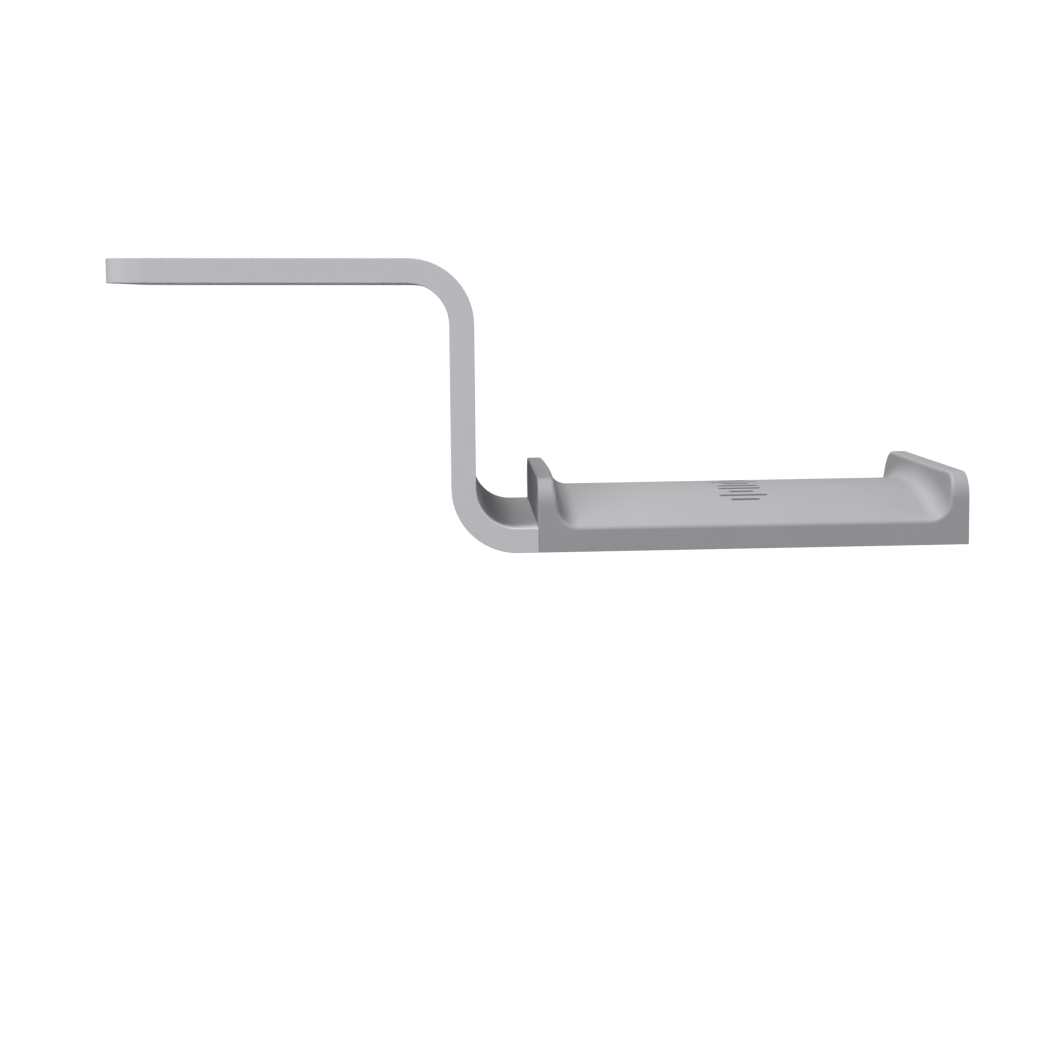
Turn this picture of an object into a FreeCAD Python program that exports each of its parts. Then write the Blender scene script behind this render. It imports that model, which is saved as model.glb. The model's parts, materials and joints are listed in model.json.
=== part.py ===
import FreeCAD, Part
import math
import os

# Headphone hook that hangs under a desk. Millimetres and degrees.
# +Z up. The origin is the middle of the flat top face of the flange, the face that
# sits against the desk. +X runs from the flange towards the cradle. Y is the width.

# Z-shaped plate
plate_thickness = 3.0
plate_width = 37.0
plate_edge_radius = 0.1
bend_inside_radius = 5.0
flange_flat_length = 36.5
flange_corner_radius = 5.0
leg_straight_length = 19.7
leg_lean = 0.5
arm_straight_length = 2.5
arm_rise = 0.86

# Tongue of the plate that runs inside the cradle
tongue_width = 31.0
tongue_length = 46.0
tongue_corner_radius = 5.0

# Holes for the two number 8 desk screws, countersunk from below
desk_hole_radius = 2.25
desk_hole_spacing = 22.0
desk_countersink_radius = 4.5

# Moulded cradle the headband rests in
cradle_length = 52.8
cradle_side_height = 3.0
cradle_joint_gap = 0.02
crest_height = 6.4
lip_height = 8.8
lip_thickness = 2.25
lip_draft = 8.0
lip_bow = 0.32
lip_corner_radius = 3.0
seat_fillet_radius = 2.45
seat_rim_radius = 0.5
cradle_outer_edge_radius = 0.1
pocket_side_clearance = 0.15
pocket_top_clearance = 0.02

# Screws and threaded inserts that hold the cradle to the tongue
fastener_positions = (9.0, 24.5, 40.0)
screw_thread_radius = 1.45
screw_clearance_radius = 1.7
screw_head_radius = 2.8
screw_head_recess = 0.1
screw_length = 5.0
socket_across_flats = 2.0
socket_depth = 1.1
insert_outer_radius = 2.1
insert_bore_radius = 1.5
insert_height = 2.5
insert_groove_depth = 0.25
insert_groove_width = 0.6
insert_top_space = 0.05
insert_wall_clearance = 0.02

# Amount by which cutting tools overshoot the faces they cut, and the distance under
# which two things count as touching
overshoot = 1.0
touching_distance = 0.01

half_width = plate_width / 2
cradle_middle = (cradle_joint_gap + cradle_length) / 2
bend_outside_radius = bend_inside_radius + plate_thickness


def vector(x, y, z):
    return FreeCAD.Vector(x, y, z)


def direction(angle):
    """Unit vector in the XZ plane, measured from +X towards +Z."""
    return vector(math.cos(math.radians(angle)), 0, math.sin(math.radians(angle)))


def arc(centre, radius, start, end):
    """Arc edge in the XZ plane between two angles."""
    middle = (start + end) / 2
    ends = [centre + direction(angle) * radius for angle in (start, middle, end)]
    return Part.Arc(*ends).toShape()


def box(x_min, x_max, y_min, y_max, z_min, z_max):
    return Part.makeBox(x_max - x_min, y_max - y_min, z_max - z_min, vector(x_min, y_min, z_min))


def upright_cylinder(radius, x, y, z_min, z_max):
    return Part.makeCylinder(radius, z_max - z_min, vector(x, y, z_min))


def edges_where(shape, test):
    return [edge for edge in shape.Edges if test(edge)]


def rounded(shape, radius, test):
    """Fillet every edge of the shape that passes the test."""
    return shape.makeFillet(radius, edges_where(shape, test))


def middle_of(edge):
    return edge.valueAt((edge.FirstParameter + edge.LastParameter) / 2)


def is_upright(edge):
    span = edge.BoundBox
    return span.XLength < touching_distance and span.YLength < touching_distance


upper_bend_centre = vector(flange_flat_length / 2, 0, -bend_outside_radius)
lower_bend_centre = (
    upper_bend_centre
    + direction(leg_lean) * (bend_outside_radius + bend_inside_radius)
    + direction(leg_lean - 90) * leg_straight_length
)
arm_origin = (
    lower_bend_centre
    - direction(arm_rise + 90) * bend_outside_radius
    + direction(arm_rise) * arm_straight_length
)


def place_on_arm(shape):
    """Move a shape from arm coordinates to the hook frame.

    Arm coordinates start under the shoulder of the plate. X runs along the arm and Z is
    square to it, so the underside of the arm is at Z = 0.
    """
    shape.Placement = FreeCAD.Placement(
        arm_origin, FreeCAD.Rotation(vector(0, -1, 0), arm_rise)
    )
    return shape


def strip_sides():
    """The two long lines of the plate's side view, from the free end to the shoulder.

    The first follows the desk side of the flange and the top of the arm, the second the
    underside of the flange and the underside of the arm.
    """
    free_end = -flange_flat_length / 2
    leg_out = leg_lean
    leg_back = leg_lean - 180
    arm_under = arm_rise - 90
    upper_out = arc(upper_bend_centre, bend_outside_radius, 90, leg_out)
    upper_in = arc(upper_bend_centre, bend_inside_radius, 90, leg_out)
    lower_in = arc(lower_bend_centre, bend_inside_radius, leg_back, arm_under)
    lower_out = arc(lower_bend_centre, bend_outside_radius, leg_back, arm_under)
    shoulder_top = arm_origin + direction(arm_rise + 90) * plate_thickness
    sides = []
    for height, upper, lower, shoulder in (
        (0, upper_out, lower_in, shoulder_top),
        (-plate_thickness, upper_in, lower_out, arm_origin),
    ):
        start = vector(free_end, 0, height)
        sides.append(
            [
                Part.makeLine(start, upper.firstVertex().Point),
                upper,
                Part.makeLine(upper.lastVertex().Point, lower.firstVertex().Point),
                lower,
                Part.makeLine(lower.lastVertex().Point, shoulder),
            ]
        )
    return sides


def folded_strip():
    """The bent plate from its free end to the shoulder, before holes and tongue."""
    desk_side, under_side = strip_sides()
    ends = [
        Part.makeLine(desk_side[0].firstVertex().Point, under_side[0].firstVertex().Point),
        Part.makeLine(desk_side[-1].lastVertex().Point, under_side[-1].lastVertex().Point),
    ]
    outline = Part.Wire(Part.__sortEdges__(desk_side + under_side + ends))
    face = Part.Face(outline)
    face.translate(vector(0, -half_width, 0))
    strip = face.extrude(vector(0, plate_width, 0))
    strip = rounded(strip, flange_corner_radius, is_free_end_corner)
    for side in (desk_side, under_side):
        line = Part.Wire(side)
        strip = rounded(strip, plate_edge_radius, lambda edge: is_rim_of(line, edge))
    return strip


def is_free_end_corner(edge):
    return is_upright(edge) and edge.BoundBox.XMax < 0


def is_rim_of(line, edge):
    """Whether an edge runs round the plate along one of its two long side lines.

    Edges straight across the plate, where a bend starts or ends, are left out.
    """
    if edge.BoundBox.YLength > plate_width - flange_corner_radius:
        return False
    middle = middle_of(edge)
    flattened = Part.Vertex(middle.x, 0, middle.z)
    return line.distToShape(flattened)[0] < touching_distance


def tongue():
    """Narrower end of the plate, in arm coordinates, overlapping the arm by a little."""
    blank = box(
        -overshoot, tongue_length, -tongue_width / 2, tongue_width / 2, 0, plate_thickness
    )
    return rounded(blank, tongue_corner_radius, is_tongue_end_corner)


def is_tongue_end_corner(edge):
    return is_upright(edge) and edge.BoundBox.XMax > tongue_length - touching_distance


def countersunk_hole(x, hole_radius, sink_radius, z_bottom, depth, sink_above):
    """Cutter for a hole whose 90 degree countersink opens downwards."""
    hole = upright_cylinder(hole_radius, x, 0, z_bottom - overshoot, z_bottom + depth + overshoot)
    sink_height = sink_radius - hole_radius
    mouth = upright_cylinder(sink_radius, x, 0, z_bottom - overshoot, z_bottom + sink_above)
    cone = Part.makeCone(
        sink_radius, hole_radius, sink_height, vector(x, 0, z_bottom + sink_above)
    )
    return hole.fuse([mouth, cone])


def make_plate():
    plate = folded_strip()
    plate = plate.fuse(place_on_arm(tongue())).removeSplitter()
    for side in (-1, 1):
        plate = plate.cut(
            countersunk_hole(
                side * desk_hole_spacing / 2,
                desk_hole_radius,
                desk_countersink_radius,
                -plate_thickness,
                plate_thickness,
                0,
            )
        )
    for x in fastener_positions:
        hole = countersunk_hole(
            x,
            screw_clearance_radius,
            screw_head_radius + screw_head_recess,
            0,
            plate_thickness,
            screw_head_recess,
        )
        plate = plate.cut(place_on_arm(hole))
    return plate


def arch_radius():
    """Radius of the saddle across its width, from its crest and side heights."""
    rise = crest_height - cradle_side_height
    return (half_width ** 2 + rise ** 2) / (2 * rise)


def lip_depth(height):
    """Thickness of the middle of a lip at a height above the underside, thickest at its root."""
    return lip_thickness + math.tan(math.radians(lip_draft)) * (lip_height - height)


def seat_half():
    """Half of the space above the saddle, the half next to the leg.

    The bottom is the saddle's arch. The end is the inner face of a lip, which leans back
    by the draft and bows towards the seat, so it is part of a large upright cone.
    """
    ceiling = lip_height + seat_fillet_radius
    side = half_width + overshoot
    block = box(cradle_joint_gap, cradle_middle, -side, side, 0, ceiling)
    saddle = Part.makeCylinder(
        arch_radius(),
        cradle_length,
        vector(0, 0, crest_height - arch_radius()),
        vector(1, 0, 0),
    )
    bow_radius = half_width ** 2 / (2 * lip_bow)
    lip = Part.makeCone(
        bow_radius + lip_depth(0),
        bow_radius + lip_depth(ceiling),
        ceiling,
        vector(cradle_joint_gap - bow_radius, 0, 0),
    )
    space = block.cut([saddle, lip])
    return rounded(space, seat_fillet_radius, is_seat_corner)


def is_seat_corner(edge):
    """The edge where the saddle meets the inner face of the lip."""
    span = edge.BoundBox
    on_lip = span.XMax < cradle_middle / 2
    return on_lip and span.YLength > half_width and span.ZMax < crest_height + touching_distance


def seat_space():
    """The whole space above the saddle and between the lips."""
    half = seat_half()
    other = half.mirror(vector(cradle_middle, 0, 0), vector(1, 0, 0))
    return half.fuse(other).removeSplitter()


def is_lip_corner(edge):
    """Top edges of the block along X, which round off the ends of the lips."""
    span = edge.BoundBox
    return span.XLength > cradle_length / 2 and span.ZMin > lip_height - touching_distance


def lies_on(shape, edge):
    """Whether the middle of an edge is on the surface of a shape."""
    return shape.Shells[0].distToShape(Part.Vertex(middle_of(edge)))[0] < touching_distance


def is_outer_edge(edge):
    """Edges round the cradle's foot and round the outer face of each lip."""
    span = edge.BoundBox
    at_foot = span.ZMax < touching_distance
    on_leg_end = span.XMax < cradle_joint_gap + touching_distance
    on_tip_end = span.XMin > cradle_length - touching_distance
    return at_foot or on_leg_end or on_tip_end


def insert_space(x):
    """Blind hole in the roof of the pocket for one threaded insert."""
    return upright_cylinder(
        insert_outer_radius + insert_wall_clearance,
        x,
        0,
        plate_thickness - overshoot,
        plate_thickness + insert_height + 2 * insert_top_space,
    )


def tongue_pocket():
    """Space for the tongue, open underneath and towards the leg."""
    half_pocket = tongue_width / 2 + pocket_side_clearance
    pocket = box(
        -overshoot,
        tongue_length + pocket_side_clearance,
        -half_pocket,
        half_pocket,
        -overshoot,
        plate_thickness + pocket_top_clearance,
    )
    return rounded(
        pocket, tongue_corner_radius + pocket_side_clearance, is_tongue_end_corner
    )


def make_cradle():
    blank = box(cradle_joint_gap, cradle_length, -half_width, half_width, 0, lip_height)
    blank = rounded(blank, lip_corner_radius, is_lip_corner)
    seat = seat_space()
    cradle = blank.cut(seat)
    cradle = rounded(
        cradle, seat_rim_radius, lambda edge: lies_on(blank, edge) and lies_on(seat, edge)
    )
    cradle = rounded(cradle, cradle_outer_edge_radius, is_outer_edge)
    cradle = cradle.cut(tongue_pocket())
    for x in fastener_positions:
        cradle = cradle.cut(insert_space(x))
    return place_on_arm(cradle)


def hexagon_socket(x):
    """Cutter for the hexagon socket of a screw whose head faces down."""
    corner_radius = socket_across_flats / math.sqrt(3)
    corners = [
        vector(
            x + corner_radius * math.cos(math.radians(60 * step)),
            corner_radius * math.sin(math.radians(60 * step)),
            screw_head_recess - overshoot,
        )
        for step in range(7)
    ]
    face = Part.Face(Part.makePolygon(corners))
    return face.extrude(vector(0, 0, overshoot + socket_depth))


def make_cradle_screw(x):
    """Countersunk socket screw, head down, driven up through the tongue."""
    cone_height = screw_head_radius - screw_thread_radius
    head = Part.makeCone(
        screw_head_radius, screw_thread_radius, cone_height, vector(x, 0, screw_head_recess)
    )
    shank = upright_cylinder(
        screw_thread_radius, x, 0, screw_head_recess, screw_head_recess + screw_length
    )
    screw = head.fuse(shank).removeSplitter().cut(hexagon_socket(x))
    return place_on_arm(screw)


def make_threaded_insert(x):
    """Brass insert with a groove round its middle that the plastic grips."""
    bottom = plate_thickness + insert_top_space
    body = upright_cylinder(insert_outer_radius, x, 0, bottom, bottom + insert_height)
    bore = upright_cylinder(
        insert_bore_radius, x, 0, bottom - overshoot, bottom + insert_height + overshoot
    )
    middle = bottom + insert_height / 2
    ring_bottom = middle - insert_groove_width / 2
    ring_top = middle + insert_groove_width / 2
    ring = upright_cylinder(insert_outer_radius + overshoot, x, 0, ring_bottom, ring_top)
    core = upright_cylinder(
        insert_outer_radius - insert_groove_depth, x, 0, ring_bottom, ring_top
    )
    return place_on_arm(body.cut([bore, ring.cut(core)]))


def make_nodes():
    """Every separate piece of the hook, by node name."""
    nodes = {"z_bracket": make_plate(), "cradle": make_cradle()}
    for number, x in enumerate(fastener_positions, start=1):
        nodes[f"cradle_screw_{number}"] = make_cradle_screw(x)
        nodes[f"threaded_insert_{number}"] = make_threaded_insert(x)
    return nodes


os.makedirs("parts", exist_ok=True)
for name, shape in make_nodes().items():
    shape.exportStep(f"parts/{name}.step")
    print(name, "valid", shape.isValid(), "solids", len(shape.Solids))
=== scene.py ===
import json
import math

import bpy
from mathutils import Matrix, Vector


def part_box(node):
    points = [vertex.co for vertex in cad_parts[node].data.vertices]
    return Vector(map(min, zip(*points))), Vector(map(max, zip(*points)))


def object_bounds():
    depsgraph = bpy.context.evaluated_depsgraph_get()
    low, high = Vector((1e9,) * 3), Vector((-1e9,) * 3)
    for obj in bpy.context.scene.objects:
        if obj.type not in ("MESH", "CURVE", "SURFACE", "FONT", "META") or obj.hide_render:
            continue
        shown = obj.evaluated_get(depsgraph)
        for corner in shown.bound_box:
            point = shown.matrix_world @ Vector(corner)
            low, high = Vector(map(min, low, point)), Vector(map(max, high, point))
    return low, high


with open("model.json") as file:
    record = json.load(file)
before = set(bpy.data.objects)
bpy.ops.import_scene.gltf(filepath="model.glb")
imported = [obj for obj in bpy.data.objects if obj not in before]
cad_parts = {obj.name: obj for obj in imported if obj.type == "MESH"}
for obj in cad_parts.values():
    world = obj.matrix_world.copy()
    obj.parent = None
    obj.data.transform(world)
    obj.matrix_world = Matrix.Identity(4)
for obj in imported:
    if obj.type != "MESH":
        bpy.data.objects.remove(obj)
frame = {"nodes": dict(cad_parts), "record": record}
cad_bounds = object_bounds()

# Camera, as angles about the point it looks at. It sits a little left of square on and
# looks slightly down.
view_azimuth = -2.09
view_elevation = 6.71
view_distance = 0.2525
aim_right_of_middle = -0.00127
aim_above_bottom = 0.00127
lens_mm = 66.03
sensor_mm = 36.0
nearest_seen = 0.01

# Stage, in metres. The hook hangs at desk height above the floor.
floor_drop = 0.70
floor_radius = 0.60
floor_sides = 96
floor_colour = (0.86, 0.86, 0.87)
floor_roughness = 0.8

# Soft studio lights: degrees round from the front towards +X, degrees up, metres across,
# watts, colour. They all stand the same distance away.
light_distance = 2.0
key_size = 0.75
soft_size = 1.25
neutral_light = (1.0, 0.998, 0.995)
cool_light = (1.0, 0.985, 1.025)
lights = {
    "key": (-66, 55, key_size, 19.0, neutral_light),
    "high_key": (-66, 69, key_size, 26.5, neutral_light),
    "front": (-20, 8, soft_size, 14.0, cool_light),
    "front_right": (18, 8, soft_size, 7.5, cool_light),
    "right": (70, 20, soft_size, 14.0, cool_light),
    "left": (-90, 8, soft_size, 6.0, neutral_light),
    "back": (180, 40, soft_size, 6.5, neutral_light),
    "back_left": (-150, 50, soft_size, 6.5, neutral_light),
}
surround_strength = 0.01
surround_colour = (0.97, 0.98, 1.0)
backdrop_colour = (1.0, 1.0, 1.0)
backdrop_strength = 1.05

# Noise: finer layers in each kind, how much weaker each one is, and the range that most
# of its values lie in
patch_layers = 3
pit_layers = 3
grain_layers = 2
ring_layers = 2
peel_layers = 1
noise_fading = 0.5
noise_low = 0.3
noise_high = 0.7

# Powder coat on the bracket: colours are linear, sizes are metres
coat_light = (0.535, 0.533, 0.553)
coat_dark = (0.519, 0.517, 0.537)
coat_roughness = (0.46, 0.54)
coat_patch_size = 0.006
coat_peel_size = 0.0009
coat_peel_height = 0.000004
coat_grain_size = 0.00018
coat_grain_height = 0.0000012
coat_grain_share = 0.3

# Matte plastic of the cradle
plastic_light = (0.306, 0.303, 0.316)
plastic_dark = (0.292, 0.289, 0.302)
plastic_roughness = (0.52, 0.62)
plastic_patch_size = 0.009
plastic_pit_size = 0.00032
plastic_pit_height = 0.0000025
plastic_grain_size = 0.00012
plastic_grain_height = 0.000001

# Mark printed on the saddle: a row of plain sound level bars across the width
ink_colour = (0.040, 0.040, 0.043)
ink_roughness = 0.45
ink_height = 0.000008
ink_edge = 0.00008
mark_place_along_cradle = 0.50
bar_spacing = 0.0018
bar_width = 0.0007
bars_each_side = 6
bar_shortest = 0.0014
bar_growth = 0.0040
bar_rhythm = 1.9

# Zinc plated steel and brass
zinc_light = (0.66, 0.67, 0.68)
zinc_dark = (0.54, 0.55, 0.57)
zinc_roughness = (0.26, 0.42)
brass_light = (0.80, 0.62, 0.30)
brass_dark = (0.66, 0.48, 0.21)
brass_roughness = (0.20, 0.34)
metal_patch_size = 0.0012
turning_pitch = 0.00009
turning_height = 0.000002


def new_material(name):
    """A node material, its tree and its Principled shader."""
    material = bpy.data.materials.new(name)
    material.use_nodes = True
    tree = material.node_tree
    return material, tree, tree.nodes["Principled BSDF"]


def place_on_hook(tree):
    """Where a point of the surface is, in metres, in the hook's own frame."""
    return tree.nodes.new("ShaderNodeTexCoord").outputs["Object"]


def feed(tree, socket, value):
    """Link a socket or set its value."""
    if isinstance(value, bpy.types.NodeSocket):
        tree.links.new(value, socket)
    else:
        socket.default_value = value


def add_node(tree, kind, **inputs):
    """A node with the named inputs linked or set."""
    node = tree.nodes.new(kind)
    for name, value in inputs.items():
        feed(tree, node.inputs[name.replace("_", " ")], value)
    return node


def calculate(tree, operation, *values):
    """What a maths node makes of some values."""
    node = tree.nodes.new("ShaderNodeMath")
    node.operation = operation
    for socket, value in zip(node.inputs, values):
        feed(tree, socket, value)
    return node.outputs["Value"]


def noise(tree, place, size, layers):
    """Noise whose lumps are about one size across, from 0 to 1."""
    node = add_node(
        tree, "ShaderNodeTexNoise",
        Vector=place, Scale=1 / size, Detail=layers, Roughness=noise_fading,
    )
    return node.outputs["Fac"]


def spread(tree, value, low, high):
    """Stretch the middle of a noise over a range of numbers."""
    node = add_node(
        tree, "ShaderNodeMapRange",
        Value=value, From_Min=noise_low, From_Max=noise_high, To_Min=low, To_Max=high,
    )
    return node.outputs["Result"]


def blend_colours(tree, factor, first, second):
    """First colour where the factor is 0, second where it is 1."""
    node = tree.nodes.new("ShaderNodeMix")
    node.data_type = "RGBA"
    for identifier, value in (("Factor_Float", factor), ("A_Color", first), ("B_Color", second)):
        socket = next(socket for socket in node.inputs if socket.identifier == identifier)
        feed(tree, socket, value)
    return next(socket for socket in node.outputs if socket.identifier == "Result_Color")


def opaque(colour):
    """The colour with full alpha."""
    return colour + (1,)


def bump(tree, height, depth, below=None):
    """Bump of a depth in metres, on top of another bump when one is given."""
    node = add_node(tree, "ShaderNodeBump", Height=height, Distance=depth)
    if below is not None:
        feed(tree, node.inputs["Normal"], below)
    return node.outputs["Normal"]


def paint_bracket():
    """Fine matte powder coat: soft orange peel with a finer grain over it."""
    material, tree, shader = new_material("bracket_powder_coat")
    place = place_on_hook(tree)
    patches = spread(tree, noise(tree, place, coat_patch_size, patch_layers), 0, 1)
    grain = noise(tree, place, coat_grain_size, grain_layers)
    patch_part = calculate(tree, "MULTIPLY", patches, 1 - coat_grain_share)
    shade = calculate(tree, "MULTIPLY_ADD", grain, coat_grain_share, patch_part)
    colour = blend_colours(tree, shade, opaque(coat_dark), opaque(coat_light))
    feed(tree, shader.inputs["Base Color"], colour)
    feed(tree, shader.inputs["Roughness"], spread(tree, grain, *coat_roughness))
    peel = bump(tree, noise(tree, place, coat_peel_size, peel_layers), coat_peel_height)
    feed(tree, shader.inputs["Normal"], bump(tree, grain, coat_grain_height, peel))
    return material


def bar_mark(tree, place, along, lowest):
    """Where the printed bars are, from 0 to 1.

    The bars lie along X and are spaced over Y. Each one is a short line with round ends,
    and their lengths rise and fall from bar to bar.
    """
    parts = add_node(tree, "ShaderNodeSeparateXYZ", Vector=place).outputs
    step = calculate(tree, "ROUND", calculate(tree, "DIVIDE", parts["Y"], bar_spacing))
    off_bar = calculate(tree, "MULTIPLY_ADD", step, -bar_spacing, parts["Y"])
    beat = calculate(tree, "COSINE", calculate(tree, "MULTIPLY", step, bar_rhythm))
    swing = calculate(tree, "ABSOLUTE", beat)
    half_length = calculate(tree, "MULTIPLY_ADD", swing, bar_growth / 2, bar_shortest / 2)
    from_middle = calculate(tree, "ABSOLUTE", calculate(tree, "SUBTRACT", parts["X"], along))
    past_end = calculate(tree, "MAXIMUM", calculate(tree, "SUBTRACT", from_middle, half_length), 0)
    across = calculate(tree, "POWER", off_bar, 2)
    distance = calculate(tree, "SQRT", calculate(tree, "MULTIPLY_ADD", past_end, past_end, across))
    inside = add_node(
        tree, "ShaderNodeMapRange",
        Value=distance, From_Min=(bar_width + ink_edge) / 2, From_Max=(bar_width - ink_edge) / 2,
    ).outputs["Result"]
    in_row = calculate(tree, "LESS_THAN", calculate(tree, "ABSOLUTE", step), bars_each_side + 1)
    on_top = calculate(tree, "GREATER_THAN", parts["Z"], lowest)
    return calculate(tree, "MULTIPLY", inside, calculate(tree, "MULTIPLY", in_row, on_top))


def mould_cradle():
    """Matte moulded plastic with a fine eroded grain, and the bars printed on the saddle."""
    material, tree, shader = new_material("cradle_plastic")
    place = place_on_hook(tree)
    low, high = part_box("cradle")
    along = low[0] + (high[0] - low[0]) * mark_place_along_cradle
    mark = bar_mark(tree, place, along, (low[2] + high[2]) / 2)
    patches = spread(tree, noise(tree, place, plastic_patch_size, patch_layers), 0, 1)
    pits = noise(tree, place, plastic_pit_size, pit_layers)
    plastic = blend_colours(tree, patches, opaque(plastic_dark), opaque(plastic_light))
    feed(tree, shader.inputs["Base Color"], blend_colours(tree, mark, plastic, opaque(ink_colour)))
    matte = spread(tree, pits, *plastic_roughness)
    rough = add_node(tree, "ShaderNodeMapRange", Value=mark, To_Min=matte, To_Max=ink_roughness)
    feed(tree, shader.inputs["Roughness"], rough.outputs["Result"])
    eroded = bump(tree, pits, plastic_pit_height)
    fine = noise(tree, place, plastic_grain_size, grain_layers)
    grained = bump(tree, fine, plastic_grain_height, eroded)
    feed(tree, shader.inputs["Normal"], bump(tree, mark, ink_height, grained))
    return material


def turn_metal(name, node, light, dark, roughness):
    """Turned metal: fine rings round the piece's own upright axis, and faint patches."""
    material, tree, shader = new_material(name)
    place = place_on_hook(tree)
    low, high = (Vector(corner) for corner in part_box(node))
    axis = (low + high) / 2
    centred = add_node(tree, "ShaderNodeVectorMath", Vector=place)
    centred.inputs[1].default_value = axis
    centred.operation = "SUBTRACT"
    parts = add_node(tree, "ShaderNodeSeparateXYZ", Vector=centred.outputs["Vector"]).outputs
    square = calculate(tree, "POWER", parts["Y"], 2)
    radius = calculate(tree, "SQRT", calculate(tree, "MULTIPLY_ADD", parts["X"], parts["X"], square))
    section = add_node(tree, "ShaderNodeCombineXYZ", X=radius, Z=parts["Z"]).outputs["Vector"]
    rings = noise(tree, section, turning_pitch, ring_layers)
    patches = noise(tree, place, metal_patch_size, patch_layers)
    feed(tree, shader.inputs["Base Color"], blend_colours(tree, patches, opaque(dark), opaque(light)))
    shader.inputs["Metallic"].default_value = 1
    feed(tree, shader.inputs["Roughness"], spread(tree, rings, *roughness))
    feed(tree, shader.inputs["Normal"], bump(tree, rings, turning_height))
    return material


def material_for(node, slot, shared):
    """The material of one CAD node. Turned pieces have their own, centred on their axis."""
    if slot == "screw_steel":
        return turn_metal(f"{node}_zinc", node, zinc_light, zinc_dark, zinc_roughness)
    if slot == "insert_brass":
        return turn_metal(f"{node}_brass", node, brass_light, brass_dark, brass_roughness)
    return shared[slot]


def dress_nodes():
    """Give every CAD node the material of its slot."""
    shared = {"bracket_paint": paint_bracket(), "cradle_plastic": mould_cradle()}
    for part in frame["record"]["subparts"]:
        mesh = frame["nodes"][part["node"]].data
        mesh.materials.clear()
        mesh.materials.append(material_for(part["node"], part["material_slot"], shared))


def direction(azimuth, elevation):
    """Unit vector from the object, round from the front (-Y) towards +X and up."""
    turn = math.radians(azimuth)
    rise = math.radians(elevation)
    flat = math.cos(rise)
    return Vector((math.sin(turn) * flat, -math.cos(turn) * flat, math.sin(rise)))


def point_at(thing, target):
    thing.rotation_euler = (target - thing.location).to_track_quat("-Z", "Y").to_euler()


def add_camera(aim):
    data = bpy.data.cameras.new("camera")
    data.sensor_width = sensor_mm
    data.lens = lens_mm
    data.clip_start = nearest_seen
    camera = bpy.data.objects.new("camera", data)
    bpy.context.scene.collection.objects.link(camera)
    camera.location = aim + direction(view_azimuth, view_elevation) * view_distance
    point_at(camera, aim)
    bpy.context.scene.camera = camera


def add_lights(target):
    for name, (azimuth, elevation, size, power, colour) in lights.items():
        data = bpy.data.lights.new(name, "AREA")
        data.shape = "DISK"
        data.size = size
        data.energy = power
        data.color = colour
        lamp = bpy.data.objects.new(name, data)
        bpy.context.scene.collection.objects.link(lamp)
        lamp.location = target + direction(azimuth, elevation) * light_distance
        lamp.visible_camera = False
        point_at(lamp, target)


def add_surround():
    """Soft light from all round, with a plain white backdrop seen behind the object."""
    world = bpy.data.worlds.new("studio")
    world.use_nodes = True
    tree = world.node_tree
    soft = tree.nodes["Background"]
    soft.inputs["Color"].default_value = opaque(surround_colour)
    soft.inputs["Strength"].default_value = surround_strength
    white = add_node(
        tree, "ShaderNodeBackground", Color=opaque(backdrop_colour), Strength=backdrop_strength
    )
    rays = tree.nodes.new("ShaderNodeLightPath")
    seen = tree.nodes.new("ShaderNodeMixShader")
    tree.links.new(rays.outputs["Is Camera Ray"], seen.inputs["Fac"])
    tree.links.new(soft.outputs["Background"], seen.inputs[1])
    tree.links.new(white.outputs["Background"], seen.inputs[2])
    tree.links.new(seen.outputs["Shader"], tree.nodes["World Output"].inputs["Surface"])
    bpy.context.scene.world = world


def add_floor(middle, lowest):
    bpy.ops.mesh.primitive_circle_add(
        vertices=floor_sides, radius=floor_radius, fill_type="NGON",
        location=(middle.x, middle.y, lowest - floor_drop),
    )
    floor = bpy.context.object
    floor.name = "floor"
    material, _, shader = new_material("floor_paint")
    shader.inputs["Base Color"].default_value = opaque(floor_colour)
    shader.inputs["Roughness"].default_value = floor_roughness
    floor.data.materials.append(material)


low, high = (Vector(corner) for corner in cad_bounds)
middle = (low + high) / 2
bpy.context.scene.view_settings.view_transform = "Standard"
dress_nodes()
add_camera(Vector((middle.x + aim_right_of_middle, 0, low.z + aim_above_bottom)))
add_lights(middle)
add_surround()
add_floor(middle, low.z)
